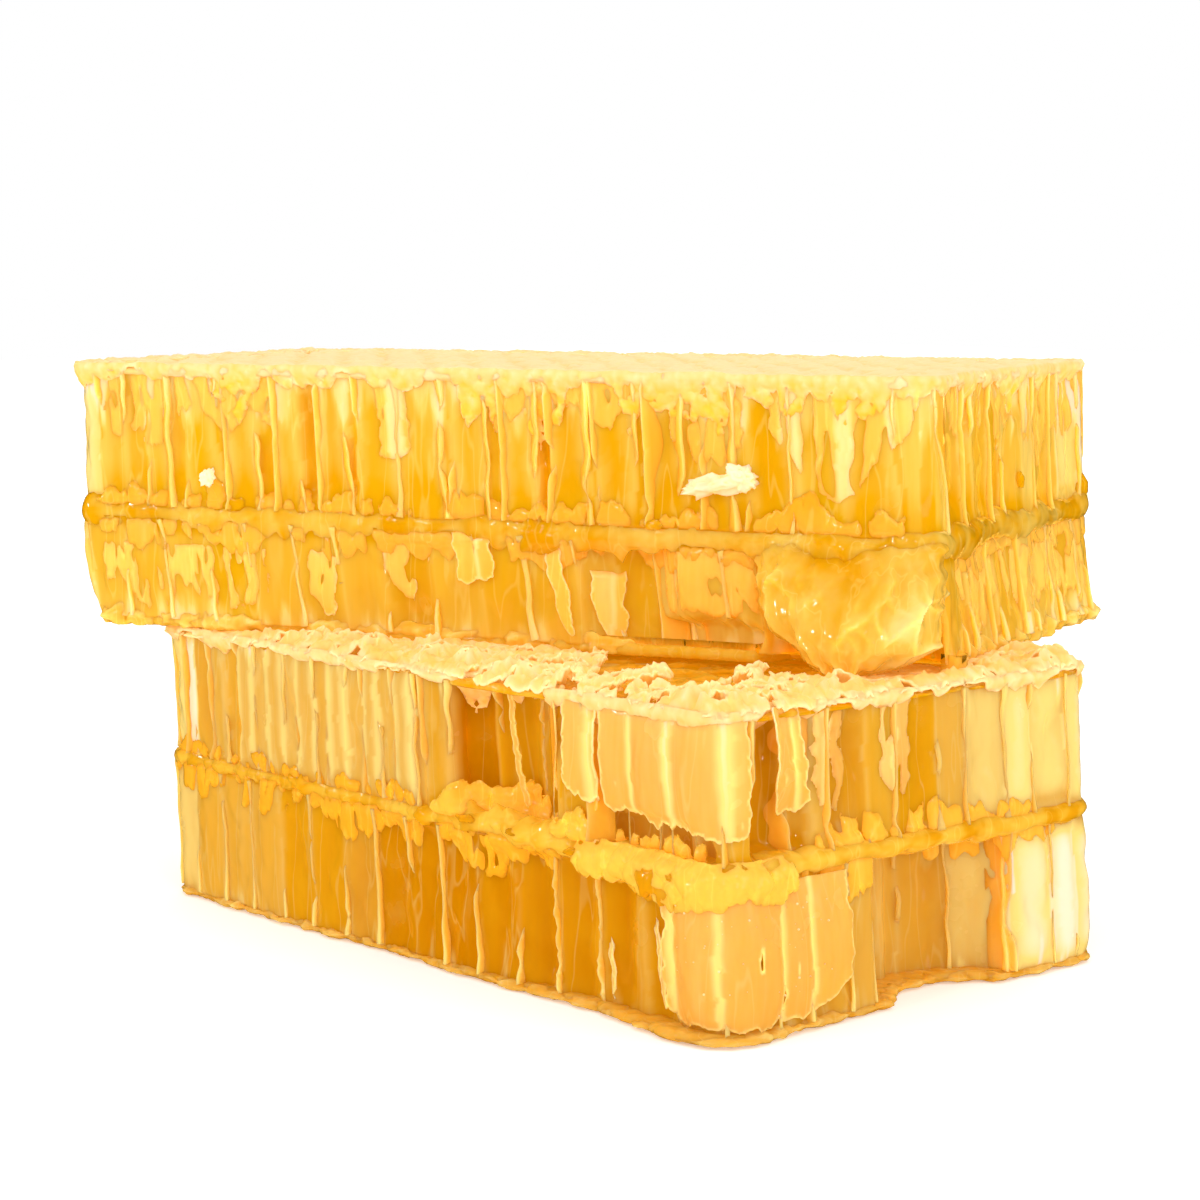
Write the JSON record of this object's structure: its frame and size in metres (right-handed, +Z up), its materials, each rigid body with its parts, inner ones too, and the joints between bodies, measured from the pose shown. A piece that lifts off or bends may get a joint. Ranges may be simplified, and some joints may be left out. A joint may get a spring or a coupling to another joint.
{
  "type": "honeycomb piece",
  "caption": "Block of cut honeycomb: slabs of capped wax cells full of honey, the upper one lying askew on the lower one.",
  "frame": {"origin": "on the table under the middle of the whole piece", "axes": "+X along the length of the lower slab, towards its right end; -Y out of its long front side; +Z up"},
  "size_m": [0.1146, 0.0846, 0.0568],
  "materials": {
    "capping_wax": "pale crumbly beeswax cappings",
    "light_honey": "wet wax cells full of light honey",
    "amber_honey": "wet wax cells full of amber honey",
    "wet_midrib_wax": "yellow wax wet with honey"
  },
  "bodies": {
    "root": {"lower_bottom_capping": "capping_wax", "lower_down_cells": "amber_honey", "lower_midrib": "wet_midrib_wax", "lower_up_cells": "amber_honey", "lower_top_capping": "capping_wax", "upper_bottom_capping": "capping_wax", "upper_down_cells": "light_honey", "upper_midrib": "wet_midrib_wax", "upper_up_cells": "light_honey", "upper_top_capping": "capping_wax", "upper_corner_run": "wet_midrib_wax"}
  },
  "joints": []
}
